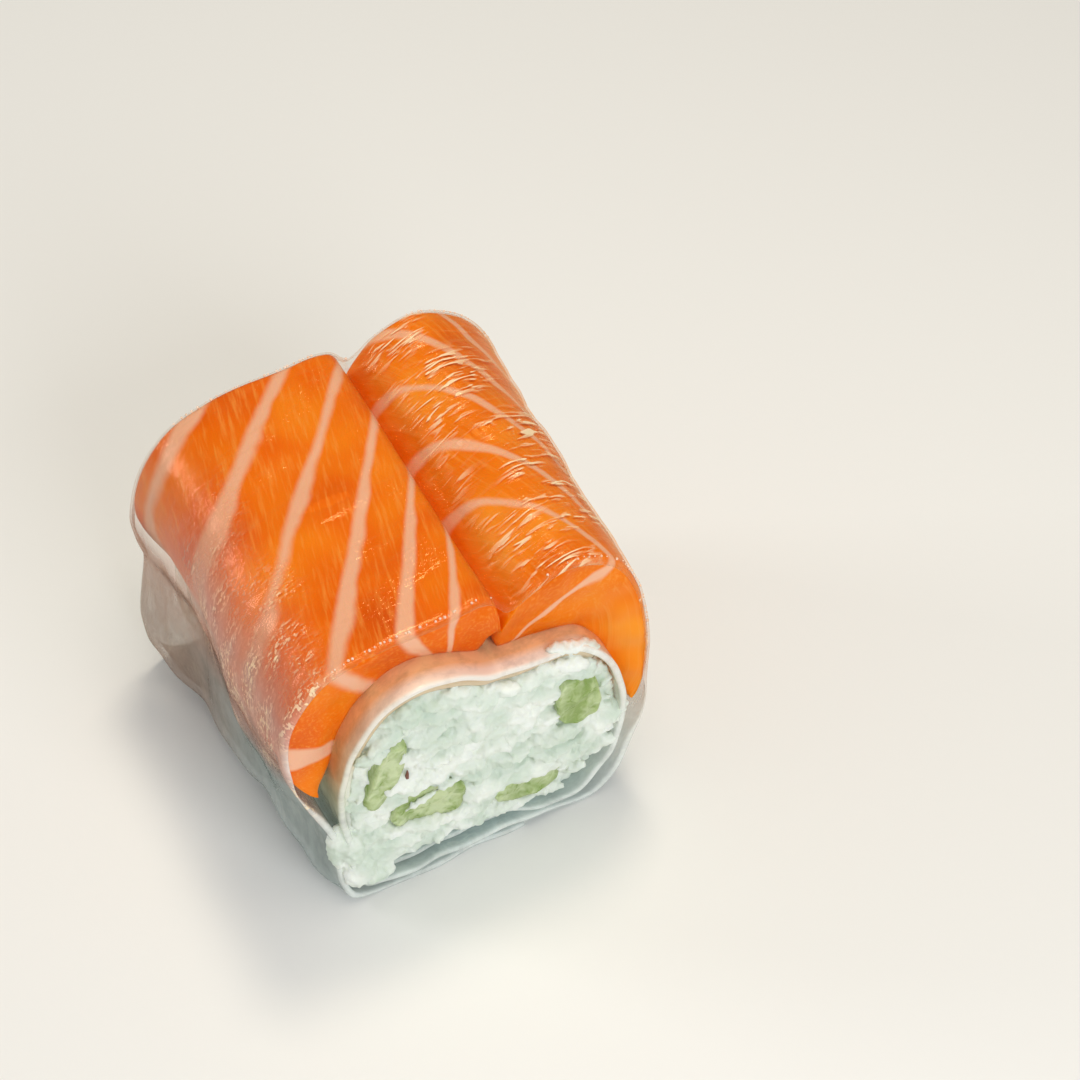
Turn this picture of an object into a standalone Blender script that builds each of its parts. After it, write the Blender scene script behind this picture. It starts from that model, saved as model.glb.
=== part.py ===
"""One cut length of a rice paper roll: soft cheese and cucumber sticks inside a rolled rice
paper sheet, with two slices of raw salmon under the sheet's outer turn.

The roll lies along Y, with the cut end that shows best at -Y. X runs across it and Z is up.
The origin is the middle of the footprint, on the surface that the roll stands on.
Everything below is in millimetres; MM turns it into Blender's metres.
"""

import math

import bmesh
import bpy
import numpy as np

MM = 0.001

# The roll as a whole
SALMON_LENGTH = 37.0  # along the roll, between the salmon's two cut faces
SHEAR = 0.045  # how far the roll leans to +X for each millimetre towards the back
HEART = (0.5, 16.0)  # the point that the layers wind round, in x and z

FIRST_STEP = 0.42  # share of the change from the front outline to the back one by mid length

# The rice paper sheet
PAPER = 0.9  # thickness of one layer, soaked
GAP = 0.3  # air between any two pieces that touch
LOOSE = 0.5  # air between the two inner layers
OUTER_END = math.radians(-19.5)  # the sheet's outer edge, under the roll
STEP_IN = (math.radians(321.0), math.radians(337.0))  # where each turn moves in by one layer
INNER_END = math.radians(960.0)  # the sheet's inner edge, at the upper right of the filling
TURN = 2.0 * math.pi
PAPER_STEP = math.radians(5.0)
PAPER_BAYS = 6  # stretches along the roll

# The salmon slices. Angles run clockwise from straight down, seen from the front end.
TIP_LEFT = math.radians(107.0)  # lower edge of the left slice
CREASE = math.radians(192.6)  # where the two slices meet, on top
TIP_RIGHT = math.radians(272.0)  # lower edge of the right slice
EDGE_WAVE = math.radians(5.0)  # how much a slice's lower edge wanders
EDGE_WAVES = 0.8  # how often it does so along the roll
SLICES_APART = math.radians(0.55)  # half the air between the slices
BLUNT = math.radians(7.0)  # stretch over which a slice's edge at the crease is rounded
TAPER = math.radians(16.0)  # and its lower edge
THIN_EDGE = 0.12  # share of the thickness left at the very edge
SLICE_POINTS = 26
SLICE_BAYS = 8

# The filling
CHEESE_POINTS = 60
CHEESE_BAYS = 4
CHEESE_LEAN = 3.6  # the cut end stands this much further out at its top than at its foot
CHEESE_REACH = 1.0  # how far its middle stands out past the salmon

# The outside of the roll: x and z at its front end, then x and z at its back end
SKIN = (
    (-11.0, 0.0, -13.5, 0.0),
    (-13.7, 0.7, -18.0, 0.5),
    (-14.8, 3.0, -20.2, 3.0),
    (-15.1, 7.5, -20.7, 7.5),
    (-16.0, 12.5, -20.0, 12.5),
    (-17.6, 18.0, -19.4, 18.0),
    (-19.0, 24.5, -20.0, 24.0),
    (-18.3, 30.2, -18.9, 29.0),
    (-15.2, 34.3, -15.6, 33.4),
    (-9.5, 35.9, -10.1, 35.6),
    (-3.0, 36.3, -3.6, 36.1),
    (3.0, 36.3, 2.7, 35.9),
    (4.7, 34.4, 4.4, 34.2),
    (7.6, 35.7, 7.4, 35.9),
    (11.5, 37.0, 11.6, 37.2),
    (15.9, 35.2, 16.7, 34.8),
    (19.0, 29.8, 20.3, 29.6),
    (20.2, 22.0, 21.2, 22.0),
    (20.1, 14.0, 20.8, 14.0),
    (18.9, 7.5, 19.3, 7.5),
    (16.6, 2.4, 16.8, 2.4),
    (14.0, 0.2, 14.0, 0.2),
    (11.5, 0.0, 11.5, 0.0),
)

# The outside of the inner turns, under the salmon and round the filling, in the same way
CORE = (
    (-9.0, 1.2, -10.5, 1.2),
    (-11.8, 2.2, -13.8, 2.2),
    (-13.2, 5.0, -15.8, 5.0),
    (-13.6, 10.0, -16.2, 10.0),
    (-14.3, 15.0, -15.8, 15.0),
    (-14.0, 20.0, -14.4, 20.0),
    (-12.4, 25.3, -12.6, 25.3),
    (-9.3, 29.2, -9.5, 29.2),
    (-5.5, 30.7, -5.6, 30.7),
    (-1.5, 29.7, -1.6, 29.7),
    (3.0, 27.6, 2.8, 27.6),
    (8.0, 27.0, 8.0, 27.0),
    (12.0, 26.2, 12.2, 26.2),
    (15.0, 22.8, 15.5, 22.8),
    (16.8, 17.3, 17.3, 17.3),
    (17.0, 11.3, 17.4, 11.3),
    (15.4, 5.8, 15.6, 5.8),
    (12.2, 2.2, 12.2, 2.2),
    (7.5, 1.2, 7.5, 1.2),
    (0.0, 1.2, 0.0, 1.2),
)

# Cucumber sticks: name, centre x and z, width, height, turn in degrees, reach past the salmon
STICKS = (
    ("cucumber_upper_right", 11.7, 17.9, 4.8, 7.0, 8.0, 1.9),
    ("cucumber_lower_left", -4.6, 10.6, 8.2, 5.2, -16.0, 1.0),
    ("cucumber_lower_right", 6.6, 6.4, 7.4, 3.8, -6.0, 0.7),
    ("cucumber_left", -9.2, 18.6, 2.6, 8.6, -20.0, 1.4),
)
STICK_POINTS = 16
STICK_SQUARENESS = 3.2  # 2 is an ellipse, and more is squarer

COLOURS = {  # linear red, green and blue, then roughness
    "rice_paper": (0.62, 0.68, 0.64, 0.25),
    "salmon": (0.84, 0.17, 0.01, 0.3),
    "soft_cheese": (0.72, 0.78, 0.72, 0.6),
    "cucumber": (0.38, 0.52, 0.2, 0.35),
}


def closed_curve(corners, per_corner=24):
    """Points of a smooth closed curve through these corners, without overshoot between them."""
    step = np.roll(corners, -1, axis=0) - corners
    length = np.linalg.norm(step, axis=1)[:, None]
    slope = step / length
    length_before, slope_before = np.roll(length, 1, axis=0), np.roll(slope, 1, axis=0)
    tangent = (slope_before * length + slope * length_before) / (length + length_before)
    points = []
    for t in np.linspace(0.0, 1.0, per_corner, endpoint=False):
        leave = (t**3 - 2.0 * t**2 + t) * length * tangent
        arrive = (t**3 - t**2) * length * np.roll(tangent, -1, axis=0)
        points.append(corners + (3.0 * t**2 - 2.0 * t**3) * step + leave + arrive)
    return np.stack(points, axis=1).reshape(-1, 2)


def moved_in(curve, distance):
    """The closed clockwise curve moved inwards by this distance, square to itself."""
    along = np.roll(curve, -1, axis=0) - np.roll(curve, 1, axis=0)
    along /= np.linalg.norm(along, axis=1)[:, None]
    inwards = np.stack([along[:, 1], -along[:, 0]], axis=1)
    return curve + distance * inwards


def radius_at(curve, angle):
    """How far the curve lies from HEART in this direction, clockwise from straight down."""
    spokes = curve - HEART
    angles = np.arctan2(-spokes[:, 0], -spokes[:, 1]) % TURN
    order = np.argsort(angles)
    return np.interp(
        angle % TURN, angles[order], np.hypot(*spokes[order].T), period=TURN
    )


def ray(angle, radius):
    """x and z of the point at this angle and distance from HEART."""
    return (HEART[0] - radius * math.sin(angle), HEART[1] - radius * math.cos(angle))


def smooth(low, high, value):
    """0 below low, 1 above high, and an even S between them."""
    t = min(1.0, max(0.0, (value - low) / (high - low)))
    return t * t * (3.0 - 2.0 * t)


def outline(corners, back, lowest):
    """A closed outline at a place from 0, the front end, to 1, the back end.

    It changes in two steps, with an even stretch between them.
    """
    change = FIRST_STEP * smooth(0.0, 0.4, back) + (1.0 - FIRST_STEP) * smooth(0.6, 1.0, back)
    corners = np.array(corners)
    curve = closed_curve(corners[:, :2] * (1.0 - change) + corners[:, 2:] * change)
    curve[:, 1] = np.maximum(curve[:, 1], lowest)
    return curve


def skin(back):
    """The outside of the whole roll."""
    return outline(SKIN, back, 0.0)


def core(back):
    """The outside of the inner turns, which clears the outer turn under it."""
    return outline(CORE, back, PAPER + GAP)


def paper_layers(back):
    """The middle of each turn of the sheet, outermost first."""
    return (
        moved_in(skin(back), PAPER / 2.0),
        moved_in(core(back), PAPER / 2.0),
        moved_in(core(back), PAPER * 1.5 + LOOSE),
    )


def paper_radius(layers, wound):
    """Distance of the sheet's middle from HEART after winding this far from straight down."""
    turn = int((wound - STEP_IN[0]) // TURN) + 1
    outer = radius_at(layers[max(turn - 1, 0)], wound)
    inner = radius_at(layers[min(turn, 2)], wound)
    since = wound - TURN * (turn - 1)
    share = smooth(STEP_IN[0], STEP_IN[1], since) if turn > 0 else 0.0
    return outer * (1.0 - share) + inner * share


def rim_reach(wound):
    """How far the sheet's rim stands out past the salmon: least over the salmon itself."""
    if wound < STEP_IN[0]:
        under = 0.5 + 0.5 * math.cos(wound)
        lobe = math.exp(-(((wound - math.radians(38.0)) / 0.3) ** 2))
        return 0.2 + 0.3 * under + 0.5 * lobe
    over = 0.5 - 0.5 * math.cos(wound)
    return 0.8 + 1.7 * over + 0.15 * math.sin(3.0 * wound)


def place(x, y, z):
    """A point of the straight roll, in the leaning roll and in metres."""
    return ((x + SHEAR * y - CENTRE_X) * MM, y * MM, z * MM)


def centre_x():
    """The middle of the roll's width, so that the origin lies under it."""
    reach = SALMON_LENGTH / 2.0 + 0.6
    front, back = skin(0.0)[:, 0] - SHEAR * reach, skin(1.0)[:, 0] + SHEAR * reach
    return (min(front.min(), back.min()) + max(front.max(), back.max())) / 2.0


CENTRE_X = centre_x()


def finish(thing, kind):
    """Gives the object the principled material of this kind of food."""
    material = bpy.data.materials.get(kind) or bpy.data.materials.new(kind)
    material.use_nodes = True
    *colour, roughness = COLOURS[kind]
    shader = material.node_tree.nodes["Principled BSDF"]
    shader.inputs["Base Color"].default_value = (*colour, 1.0)
    shader.inputs["Roughness"].default_value = roughness
    shader.inputs["Metallic"].default_value = 0.0
    thing.data.materials.append(material)


def add_mesh(name, mesh, collection):
    """An object that shows this mesh."""
    thing = bpy.data.objects.new(name, mesh)
    collection.objects.link(thing)
    mesh.shade_smooth()
    mesh.set_sharp_from_angle(angle=math.radians(40.0))
    return thing


def loft(name, rings, collection):
    """A closed solid through these rings, which all have the same number of points."""
    shape = bmesh.new()
    rows = [[shape.verts.new(point) for point in ring] for ring in rings]
    count = len(rows[0])
    for row, after in zip(rows, rows[1:]):
        for i in range(count):
            j = (i + 1) % count
            shape.faces.new((row[i], row[j], after[j], after[i]))
    shape.faces.new(rows[0])
    shape.faces.new(rows[-1])
    bmesh.ops.recalc_face_normals(shape, faces=shape.faces)
    mesh = bpy.data.meshes.new(name)
    shape.to_mesh(mesh)
    shape.free()
    return add_mesh(name, mesh, collection)


def rice_paper(collection):
    """The sheet, wound inwards from under the roll, as an open ribbon made solid."""
    count = int(round((INNER_END - OUTER_END) / PAPER_STEP))
    turns = np.linspace(OUTER_END, INNER_END, count + 1)
    shape = bmesh.new()
    rows = []
    for bay in range(PAPER_BAYS + 1):
        back = bay / PAPER_BAYS
        layers = paper_layers(back)
        row = []
        for wound in turns:
            x, z = ray(wound, paper_radius(layers, wound))
            z = max(z, PAPER / 2.0)
            half = SALMON_LENGTH / 2.0 + rim_reach(wound)
            row.append(shape.verts.new(place(x, (2.0 * back - 1.0) * half, z)))
        rows.append(row)
    for row, after in zip(rows, rows[1:]):
        for i in range(count):
            shape.faces.new((row[i], row[i + 1], after[i + 1], after[i]))
    mesh = bpy.data.meshes.new("rice_paper")
    shape.to_mesh(mesh)
    shape.free()
    sheet = add_mesh("rice_paper", mesh, collection)
    solid = sheet.modifiers.new("thickness", "SOLIDIFY")
    solid.thickness = PAPER * MM
    solid.offset = 0.0
    solid.use_even_offset = True
    return sheet


def round_off(share, stretch):
    """The share of the full thickness left this far along a stretch with a round end."""
    return math.sqrt(1.0 - (1.0 - min(1.0, share / stretch)) ** 2)


def slice_ring(y, ends, rounds):
    """One section of a salmon slice between two angles, with rounded ends."""
    back = y / SALMON_LENGTH + 0.5
    outside = moved_in(skin(back), PAPER + GAP)
    inside = moved_in(core(back), -GAP)
    width = ends[1] - ends[0]
    outer, inner = [], []
    for step in range(SLICE_POINTS):
        share = 0.5 - 0.5 * math.cos(math.pi * step / (SLICE_POINTS - 1))
        angle = ends[0] + width * share
        far, near = radius_at(outside, angle), radius_at(inside, angle)
        full = round_off(share * width, rounds[0]) * round_off((1.0 - share) * width, rounds[1])
        half = (far - near) / 2.0 * max(full, THIN_EDGE)
        outer.append(ray(angle, (far + near) / 2.0 + half))
        inner.append(ray(angle, (far + near) / 2.0 - half))
    return [place(x, y, z) for x, z in outer + inner[::-1]]


def salmon(name, ends, rounds, waves, collection):
    """A slice between two angles, whose lower edge wanders along the roll."""
    rings = []
    for y in np.linspace(-SALMON_LENGTH / 2.0, SALMON_LENGTH / 2.0, SLICE_BAYS + 1):
        wander = EDGE_WAVE * math.sin(EDGE_WAVES * TURN * y / SALMON_LENGTH + 0.4)
        here = [end + wave * wander for end, wave in zip(ends, waves)]
        rings.append(slice_ring(y, here, rounds))
    return loft(name, rings, collection)


def filling_outline(back):
    """The outside of the filling: inside the innermost layer of paper all the way round."""
    layers = paper_layers(back)
    angles = np.linspace(0.0, TURN, 240, endpoint=False)
    inner_end = INNER_END % TURN
    points = []
    for angle in angles:
        double = paper_radius(layers, angle + 2.0 * TURN)
        single = paper_radius(layers, angle + TURN)
        past = smooth(inner_end + 0.06, inner_end + 0.3, angle)
        radius = double * (1.0 - past) + single * past
        points.append(ray(angle, radius))
    return moved_in(np.array(points), PAPER / 2.0 + GAP)


def stick_outline(stick, grow=0.0):
    """The rounded section of a cucumber stick, larger all round by grow."""
    _, x, z, width, height, turn, _ = stick
    points = []
    for angle in np.linspace(0.0, TURN, STICK_POINTS, endpoint=False):
        across = math.copysign(
            abs(math.cos(angle)) ** (2.0 / STICK_SQUARENESS), math.cos(angle)
        ) * (width / 2.0 + grow)
        up = math.copysign(
            abs(math.sin(angle)) ** (2.0 / STICK_SQUARENESS), math.sin(angle)
        ) * (height / 2.0 + grow)
        c, s = math.cos(math.radians(turn)), math.sin(math.radians(turn))
        points.append((x + across * c - up * s, z + across * s + up * c))
    return points


def cucumber(stick, collection):
    """A stick that runs through the filling."""
    reach = SALMON_LENGTH / 2.0 + stick[-1]
    rings = [
        [place(x, y, z) for x, z in stick_outline(stick)] for y in (-reach, reach)
    ]
    return loft(stick[0], rings, collection)


def cheese(collection, cutters):
    """The filling, whose ends lean, with a channel for each cucumber stick."""
    angles = np.linspace(0.0, TURN, CHEESE_POINTS, endpoint=False)
    rings = []
    for side in np.linspace(-1.0, 1.0, CHEESE_BAYS + 1):
        edge = filling_outline(0.5 + 0.5 * side)
        ring = []
        for angle in angles:
            x, z = ray(angle, radius_at(edge, angle))
            lean = CHEESE_LEAN * (z - HEART[1]) / (2.0 * HEART[1])
            half = SALMON_LENGTH / 2.0 + CHEESE_REACH + lean
            ring.append(place(x, side * half, z))
        rings.append(ring)
    filling = loft("soft_cheese", rings, collection)
    for stick in STICKS:
        reach = SALMON_LENGTH
        rings = [
            [place(x, y, z) for x, z in stick_outline(stick, GAP)] for y in (-reach, reach)
        ]
        cutter = loft("channel_" + stick[0], rings, cutters)
        cutter.hide_render = True
        cutter.display_type = "WIRE"
        cut = filling.modifiers.new("channel", "BOOLEAN")
        cut.operation = "DIFFERENCE"
        cut.solver = "EXACT"
        cut.object = cutter
    return filling


def main():
    """Clears the scene and builds the roll."""
    for thing in list(bpy.data.objects):
        bpy.data.objects.remove(thing)
    roll = bpy.data.collections.new("rice_paper_roll")
    cutters = bpy.data.collections.new("cutters")
    for collection in (roll, cutters):
        bpy.context.scene.collection.children.link(collection)

    finish(rice_paper(roll), "rice_paper")
    left = salmon(
        "salmon_left", (TIP_LEFT, CREASE - SLICES_APART), (TAPER, BLUNT), (1.0, 0.0), roll
    )
    right = salmon(
        "salmon_right", (CREASE + SLICES_APART, TIP_RIGHT), (BLUNT, TAPER), (0.0, -1.0), roll
    )
    finish(left, "salmon")
    finish(right, "salmon")
    finish(cheese(roll, cutters), "soft_cheese")
    for stick in STICKS:
        finish(cucumber(stick, roll), "cucumber")


main()
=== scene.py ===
"""Looks of one cut length of rice paper roll: salmon under wet rice paper, round soft cheese.

Sizes are in millimetres unless a name says otherwise; MM turns them into Blender's metres.
Angles of a section run clockwise from straight down, as seen from the front end at -Y.
"""

import logging
import math
from dataclasses import dataclass, field
from enum import Enum

import bmesh
import bpy
import numpy as np
from mathutils import Euler, Matrix, Vector


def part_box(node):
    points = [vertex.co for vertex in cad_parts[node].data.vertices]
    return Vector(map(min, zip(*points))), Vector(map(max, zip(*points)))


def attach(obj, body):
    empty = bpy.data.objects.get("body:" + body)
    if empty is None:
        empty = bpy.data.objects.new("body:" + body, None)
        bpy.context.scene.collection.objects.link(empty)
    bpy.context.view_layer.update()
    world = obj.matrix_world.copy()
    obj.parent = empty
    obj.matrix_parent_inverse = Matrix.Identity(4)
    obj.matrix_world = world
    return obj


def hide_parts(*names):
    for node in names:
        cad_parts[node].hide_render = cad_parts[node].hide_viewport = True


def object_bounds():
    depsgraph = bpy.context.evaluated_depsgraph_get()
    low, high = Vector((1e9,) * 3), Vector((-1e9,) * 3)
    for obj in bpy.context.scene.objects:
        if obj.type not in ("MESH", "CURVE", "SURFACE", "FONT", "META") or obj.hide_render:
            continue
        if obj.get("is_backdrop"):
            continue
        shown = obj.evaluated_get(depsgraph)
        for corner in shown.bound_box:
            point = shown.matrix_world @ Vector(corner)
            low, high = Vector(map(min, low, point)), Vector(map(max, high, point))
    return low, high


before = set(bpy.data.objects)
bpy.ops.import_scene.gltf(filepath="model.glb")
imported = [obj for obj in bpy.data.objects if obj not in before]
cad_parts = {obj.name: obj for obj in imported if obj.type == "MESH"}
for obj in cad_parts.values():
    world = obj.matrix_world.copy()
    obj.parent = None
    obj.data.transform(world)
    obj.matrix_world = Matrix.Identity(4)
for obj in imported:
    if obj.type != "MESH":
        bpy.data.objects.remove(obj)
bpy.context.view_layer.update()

MM = 0.001
TURN = 2.0 * math.pi
LOG = logging.getLogger("rice_paper_roll")

Array = np.ndarray
Row = tuple[float, ...]
Faces = list[tuple[int, ...]]
Stops = tuple[tuple[float, object], ...]


# ---------------------------------------------------------------- small helpers


def smooth(low: float, high: float, value: Array | float) -> Array:
    """An even S from 0 at low to 1 at high."""
    t = np.clip((np.asarray(value, float) - low) / (high - low), 0.0, 1.0)
    return t * t * (3.0 - 2.0 * t)


def bump_between(low: float, high: float, edge: float, value: Array) -> Array:
    """1 between low and high, fading to 0 over edge outside them."""
    return smooth(low - edge, low, value) * (1.0 - smooth(high, high + edge, value))


def linear(hex_colour: str) -> tuple[float, float, float, float]:
    """Turns an sRGB colour to the linear values that shaders take.

    Args:
        hex_colour: the colour, such as #ffffff.

    Returns:
        Linear red, green and blue, and an alpha of 1.
    """
    channels = [int(hex_colour[i : i + 2], 16) / 255.0 for i in (1, 3, 5)]
    low = [c / 12.92 if c <= 0.04045 else ((c + 0.055) / 1.055) ** 2.4 for c in channels]
    return (*low, 1.0)


def per_metre(size_mm: float) -> float:
    """Scale of a texture whose pattern has this size in millimetres."""
    return 1.0 / (size_mm * MM)


def ripple(u: Array, v: Array, wavelength: float, seed: int, waves: int = 14) -> Array:
    """Smooth uneven relief of about -1 to 1, the sum of waves in all directions.

    Args:
        u, v: places on the surface.
        wavelength: typical distance between crests.
        seed: which relief it is.
        waves: how many waves are added up.

    Returns:
        The height at each place.
    """
    rng = np.random.default_rng(seed)
    total = np.zeros(np.broadcast(u, v).shape)
    for _ in range(waves):
        way, phase = rng.uniform(0.0, TURN, 2)
        number = TURN / (wavelength * rng.uniform(0.6, 1.7))
        total += np.cos(number * (u * math.cos(way) + v * math.sin(way)) + phase)
    return total / math.sqrt(waves)


def closed_curve(corners: Array, per_corner: int = 24) -> Array:
    """Draws a smooth closed curve through some corners, without overshoot.

    Args:
        corners: the points that it passes, clockwise.
        per_corner: points for each corner.

    Returns:
        The curve's points.
    """
    step = np.roll(corners, -1, axis=0) - corners
    length = np.linalg.norm(step, axis=1)[:, None]
    slope = step / length
    length_before, slope_before = np.roll(length, 1, axis=0), np.roll(slope, 1, axis=0)
    tangent = (slope_before * length + slope * length_before) / (length + length_before)
    points = []
    for t in np.linspace(0.0, 1.0, per_corner, endpoint=False):
        leave = (t**3 - 2.0 * t**2 + t) * length * tangent
        arrive = (t**3 - t**2) * length * np.roll(tangent, -1, axis=0)
        points.append(corners + (3.0 * t**2 - 2.0 * t**3) * step + leave + arrive)
    return np.stack(points, axis=1).reshape(-1, 2)


def moved_in(curve: Array, distance: float) -> Array:
    """The closed clockwise curve moved inwards by this distance, square to itself."""
    along = np.roll(curve, -1, axis=0) - np.roll(curve, 1, axis=0)
    along /= np.linalg.norm(along, axis=1)[:, None]
    return curve + distance * np.stack([along[:, 1], -along[:, 0]], axis=1)


# ---------------------------------------------------------------- the roll's shape


@dataclass(frozen=True)
class Outline:
    """A section outline that changes from the roll's front end to its back end."""

    corners: tuple[Row, ...]  # x and z at the front, x and z at the back
    lowest: float
    first_step: float = 0.42  # share of the change near the front; the rest is near the back

    def at(self, back: float) -> Array:
        """The outline's points at a place from 0, the front end, to 1, the back end."""
        first, rest = smooth(0.0, 0.4, back), smooth(0.6, 1.0, back)
        change = self.first_step * first + (1.0 - self.first_step) * rest
        corners = np.array(self.corners)
        curve = closed_curve(corners[:, :2] * (1.0 - change) + corners[:, 2:] * change)
        curve[:, 1] = np.maximum(curve[:, 1], self.lowest)
        return curve


SKIN = Outline(
    (
        (-11.0, 0.0, -13.5, 0.0),
        (-13.7, 0.7, -18.0, 0.5),
        (-14.8, 3.0, -20.2, 3.0),
        (-15.1, 7.5, -20.7, 7.5),
        (-16.0, 12.5, -20.0, 12.5),
        (-17.6, 18.0, -19.4, 18.0),
        (-19.0, 24.5, -20.0, 24.0),
        (-18.3, 30.2, -18.9, 29.0),
        (-15.2, 34.3, -15.6, 33.4),
        (-9.5, 35.9, -10.1, 35.6),
        (-3.0, 36.3, -3.6, 36.1),
        (3.0, 36.3, 2.7, 35.9),
        (4.7, 34.4, 4.4, 34.2),
        (7.6, 35.7, 7.4, 35.9),
        (11.5, 37.0, 11.6, 37.2),
        (15.9, 35.2, 16.7, 34.8),
        (19.0, 29.8, 20.3, 29.6),
        (20.2, 22.0, 21.2, 22.0),
        (20.1, 14.0, 20.8, 14.0),
        (18.9, 7.5, 19.3, 7.5),
        (16.6, 2.4, 16.8, 2.4),
        (14.0, 0.2, 14.0, 0.2),
        (11.5, 0.0, 11.5, 0.0),
    ),
    lowest=0.0,
)
CORE = Outline(
    (
        (-9.0, 1.2, -10.5, 1.2),
        (-11.8, 2.2, -13.8, 2.2),
        (-13.2, 5.0, -15.8, 5.0),
        (-13.6, 10.0, -16.2, 10.0),
        (-14.3, 15.0, -15.8, 15.0),
        (-14.0, 20.0, -14.4, 20.0),
        (-12.4, 25.3, -12.6, 25.3),
        (-9.3, 29.2, -9.5, 29.2),
        (-5.5, 30.7, -5.6, 30.7),
        (-1.5, 29.7, -1.6, 29.7),
        (3.0, 27.6, 2.8, 27.6),
        (8.0, 27.0, 8.0, 27.0),
        (12.0, 26.2, 12.2, 26.2),
        (15.0, 22.8, 15.5, 22.8),
        (16.8, 17.3, 17.3, 17.3),
        (17.0, 11.3, 17.4, 11.3),
        (15.4, 5.8, 15.6, 5.8),
        (12.2, 2.2, 12.2, 2.2),
        (7.5, 1.2, 7.5, 1.2),
        (0.0, 1.2, 0.0, 1.2),
    ),
    lowest=1.2,
)


@dataclass
class RollShape:
    """Where everything in the roll lies: its outlines wound round one heart line."""

    heart: tuple[float, float] = (0.5, 16.0)
    shear: float = 0.045  # lean to +X for each millimetre towards the back
    reach: float = 0.6  # how far the sheet stands out past the salmon at the sides
    length: float = field(init=False)  # of the salmon
    half: float = field(init=False)
    centre_x: float = field(init=False)

    def __post_init__(self) -> None:
        """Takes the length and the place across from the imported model."""
        low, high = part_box("salmon_left")
        self.length = (high.y - low.y) / MM
        self.half = self.length / 2.0
        low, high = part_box("rice_paper")
        lean = self.shear * (self.half + self.reach)
        front, back = SKIN.at(0.0)[:, 0] - lean, SKIN.at(1.0)[:, 0] + lean
        middle = (min(front.min(), back.min()) + max(front.max(), back.max())) / 2.0
        self.centre_x = middle - (low.x + high.x) / 2.0 / MM

    def share_back(self, y: float) -> float:
        """How far back this place along the roll is, from 0 to 1."""
        return float(np.clip(y / self.length + 0.5, 0.0, 1.0))

    def radius(self, curve: Array, angle: Array) -> Array:
        """Measures a curve from the heart line.

        Args:
            curve: points of a closed curve.
            angle: directions to measure in.

        Returns:
            The distance in each direction.
        """
        spokes = curve - np.array(self.heart)
        angles = np.arctan2(-spokes[:, 0], -spokes[:, 1]) % TURN
        order = np.argsort(angles)
        distance = np.hypot(spokes[order, 0], spokes[order, 1])
        return np.interp(np.asarray(angle) % TURN, angles[order], distance, period=TURN)

    def ray(self, angle: Array, radius: Array) -> tuple[Array, Array]:
        """x and z of the points at these angles and distances from the heart line."""
        return (self.heart[0] - radius * np.sin(angle), self.heart[1] - radius * np.cos(angle))

    def place(self, x: Array, y: Array, z: Array) -> Array:
        """Points of the straight roll, in the leaning roll and in metres."""
        x, y, z = np.broadcast_arrays(np.asarray(x, float), y, z)
        return np.stack([x + self.shear * y - self.centre_x, y, z], axis=-1) * MM

    def arc(self, angle: Array, start: float) -> Array:
        """Distance along the skin from the angle start, counted clockwise."""
        fine = np.linspace(0.0, TURN, 1441)
        x, z = self.ray(fine, self.radius(SKIN.at(0.3), fine))
        run = np.concatenate([[0.0], np.cumsum(np.hypot(np.diff(x), np.diff(z)))])
        return np.interp(angle, fine, run) - np.interp(start, fine, run)


# ---------------------------------------------------------------- meshes


def object_of(name: str, shape: bmesh.types.BMesh) -> bpy.types.Object:
    """Turns a bmesh into a smooth-shaded object and frees it.

    Args:
        name: the object's name.
        shape: what it is made of.

    Returns:
        The object, in the scene.
    """
    mesh = bpy.data.meshes.new(name)
    shape.to_mesh(mesh)
    shape.free()
    mesh.shade_smooth()
    thing = bpy.data.objects.new(name, mesh)
    bpy.context.scene.collection.objects.link(thing)
    return thing


def tube(name: str, points: Array) -> bpy.types.Object:
    """Joins closed loops of points into one closed tube, whose normals face out.

    Args:
        name: the object's name.
        points: the loops, one after another, each with as many points.

    Returns:
        The object.
    """
    loops, around = points.shape[:2]
    faces: Faces = []
    for a in range(0, (loops - 1) * around, around):
        for j in range(around):
            k = (j + 1) % around
            faces.append((a + j, a + k, a + around + k, a + around + j))
    faces.append(tuple(range(around)))
    faces.append(tuple(range((loops - 1) * around, loops * around)))
    mesh = bpy.data.meshes.new(name)
    mesh.from_pydata(points.reshape(-1, 3).tolist(), [], faces)
    shape = bmesh.new()
    shape.from_mesh(mesh)
    bpy.data.meshes.remove(mesh)
    bmesh.ops.recalc_face_normals(shape, faces=shape.faces)
    return object_of(name, shape)


def keep(thing: bpy.types.Object, name: str, values: Array, width: int = 1) -> None:
    """Stores a number, or as many numbers as width says, for each point of the mesh."""
    kinds = {1: ("FLOAT", "value"), 3: ("FLOAT_VECTOR", "vector"), 4: ("FLOAT_COLOR", "color")}
    layer = thing.data.attributes.new(name, kinds[width][0], "POINT")
    layer.data.foreach_set(kinds[width][1], np.asarray(values, np.float32).reshape(-1))


def by_angle(stops: Stops, degrees: Array) -> Array:
    """Blends numbers or hex colours that are given at some angles.

    Args:
        stops: pairs of an angle and a number or a colour.
        degrees: the angles in between.

    Returns:
        A number or a linear colour for each angle.
    """
    at = [stop[0] for stop in stops]
    if isinstance(stops[0][1], str):
        colours = np.array([linear(stop[1]) for stop in stops])
        return np.stack([np.interp(degrees, at, colours[:, i]) for i in range(4)], axis=-1)
    return np.interp(degrees, at, [stop[1] for stop in stops])


def blend(colour: Array, other: str, share: Array) -> Array:
    """The colours with this share of another one, given as hex, mixed in."""
    return colour * (1.0 - share) + np.array(linear(other)) * share


# ---------------------------------------------------------------- finishes


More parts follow.
